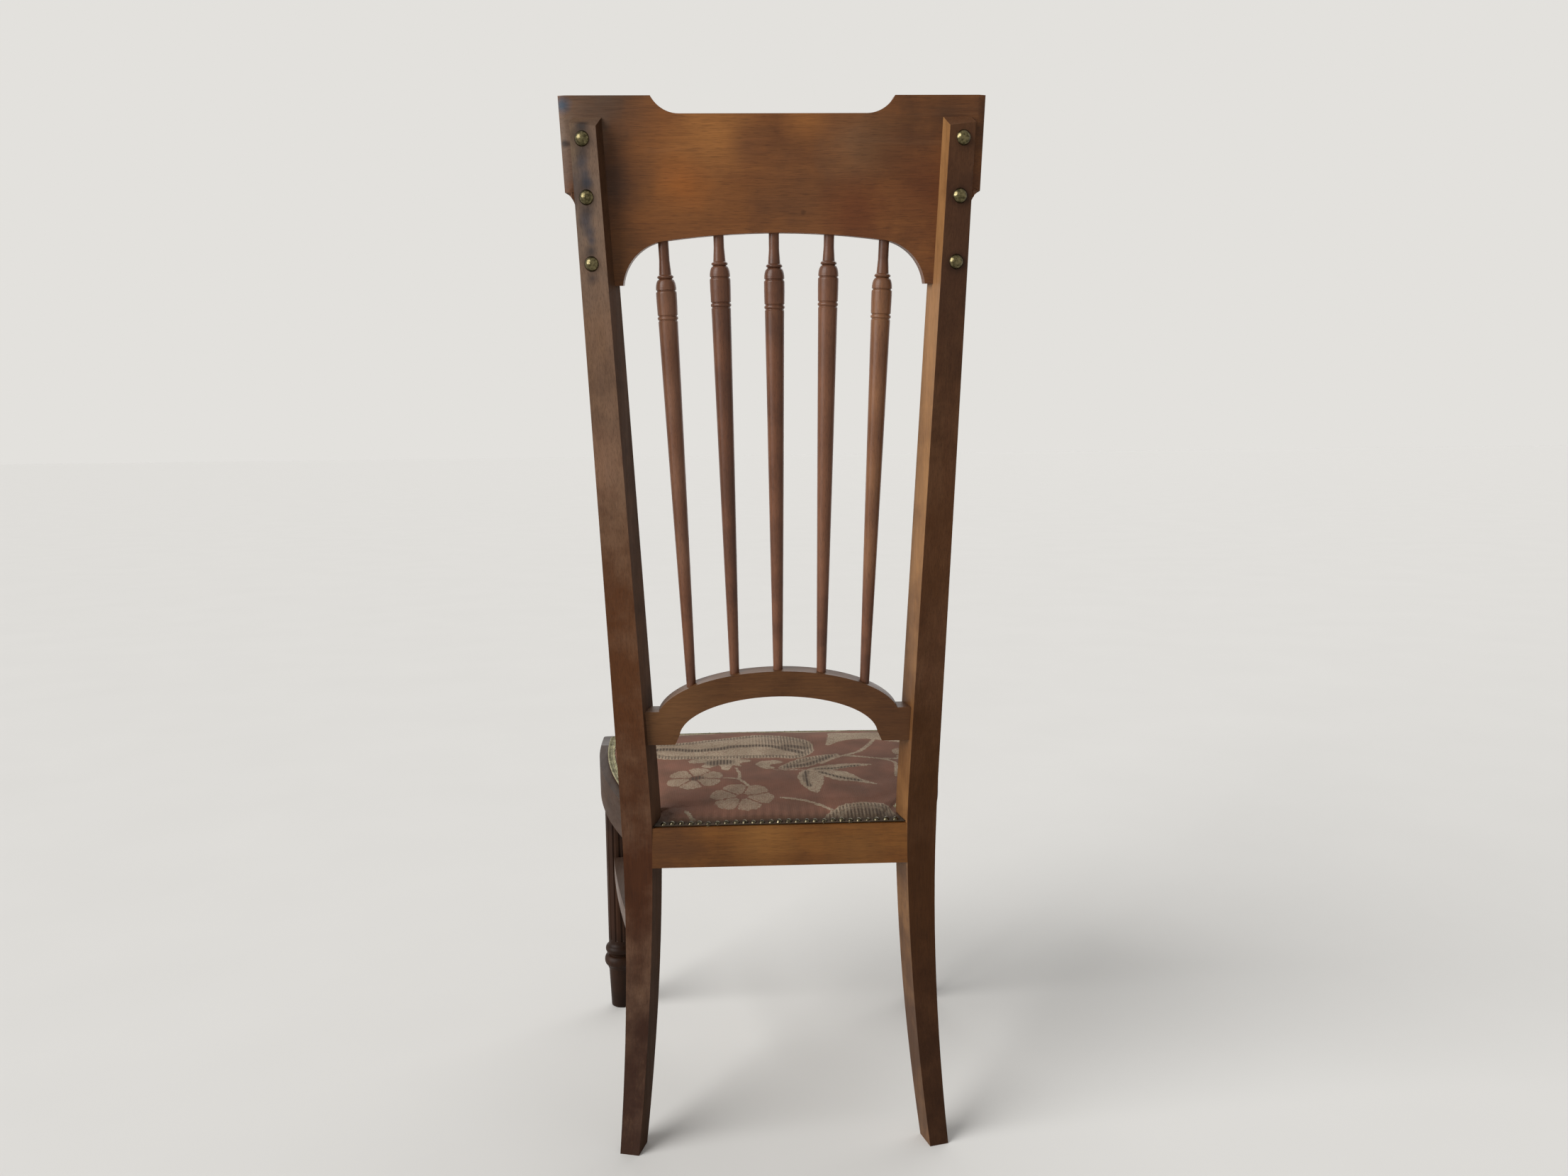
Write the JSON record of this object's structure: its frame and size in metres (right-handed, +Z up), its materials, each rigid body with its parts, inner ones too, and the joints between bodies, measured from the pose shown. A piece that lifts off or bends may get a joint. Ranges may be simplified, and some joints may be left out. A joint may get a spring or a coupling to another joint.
{
  "type": "high-back side chair",
  "caption": "High-back wooden side chair with a shaped crest board, turned spindles over a low arched rail, sabre rear legs, fluted front legs and a nailed tapestry seat.",
  "frame": {"origin": "on the floor, at the middle of the bounding box in plan", "axes": "+Z up; the sitter faces -Y, so the back of the chair is towards +Y; the sitter's left is +X"},
  "size_m": [0.559, 0.5428, 1.3589],
  "materials": {
    "walnut": "stained and varnished, worn satin",
    "dark_walnut": "stained and varnished, worn satin",
    "honey_walnut": "stained and varnished, worn satin",
    "raw_wood": "plain, unvarnished",
    "steel": "dull wood screws",
    "jute": "plain jute",
    "tapestry": "woven floral tapestry, worn",
    "braid": "looped braid",
    "old_brass": "dulled, dark in the hollows"
  },
  "bodies": {
    "root": {"rear_post_left": "walnut", "rear_post_right": "dark_walnut", "crest_rail": "walnut", "lower_arch_rail": "walnut", "spindle_1": "dark_walnut", "spindle_2": "dark_walnut", "spindle_3": "dark_walnut", "spindle_4": "dark_walnut", "spindle_5": "dark_walnut", "rear_seat_rail": "honey_walnut", "side_seat_rail_left": "walnut", "side_seat_rail_right": "walnut", "front_seat_rail": "walnut", "front_leg_left": "dark_walnut", "front_leg_right": "dark_walnut", "side_stretcher_left": "walnut", "side_stretcher_right": "walnut", "corner_block_front_left": "raw_wood", "corner_block_front_right": "raw_wood", "corner_block_rear_left": "raw_wood", "corner_block_rear_right": "raw_wood", "corner_block_screws": "steel", "webbing_straps": "jute", "hessian_base": "jute", "seat_padding": "jute", "seat_cover": "tapestry", "galloon_braid": "braid", "rear_nails": "old_brass", "crest_studs_left": "old_brass", "crest_studs_right": "old_brass"}
  },
  "joints": []
}
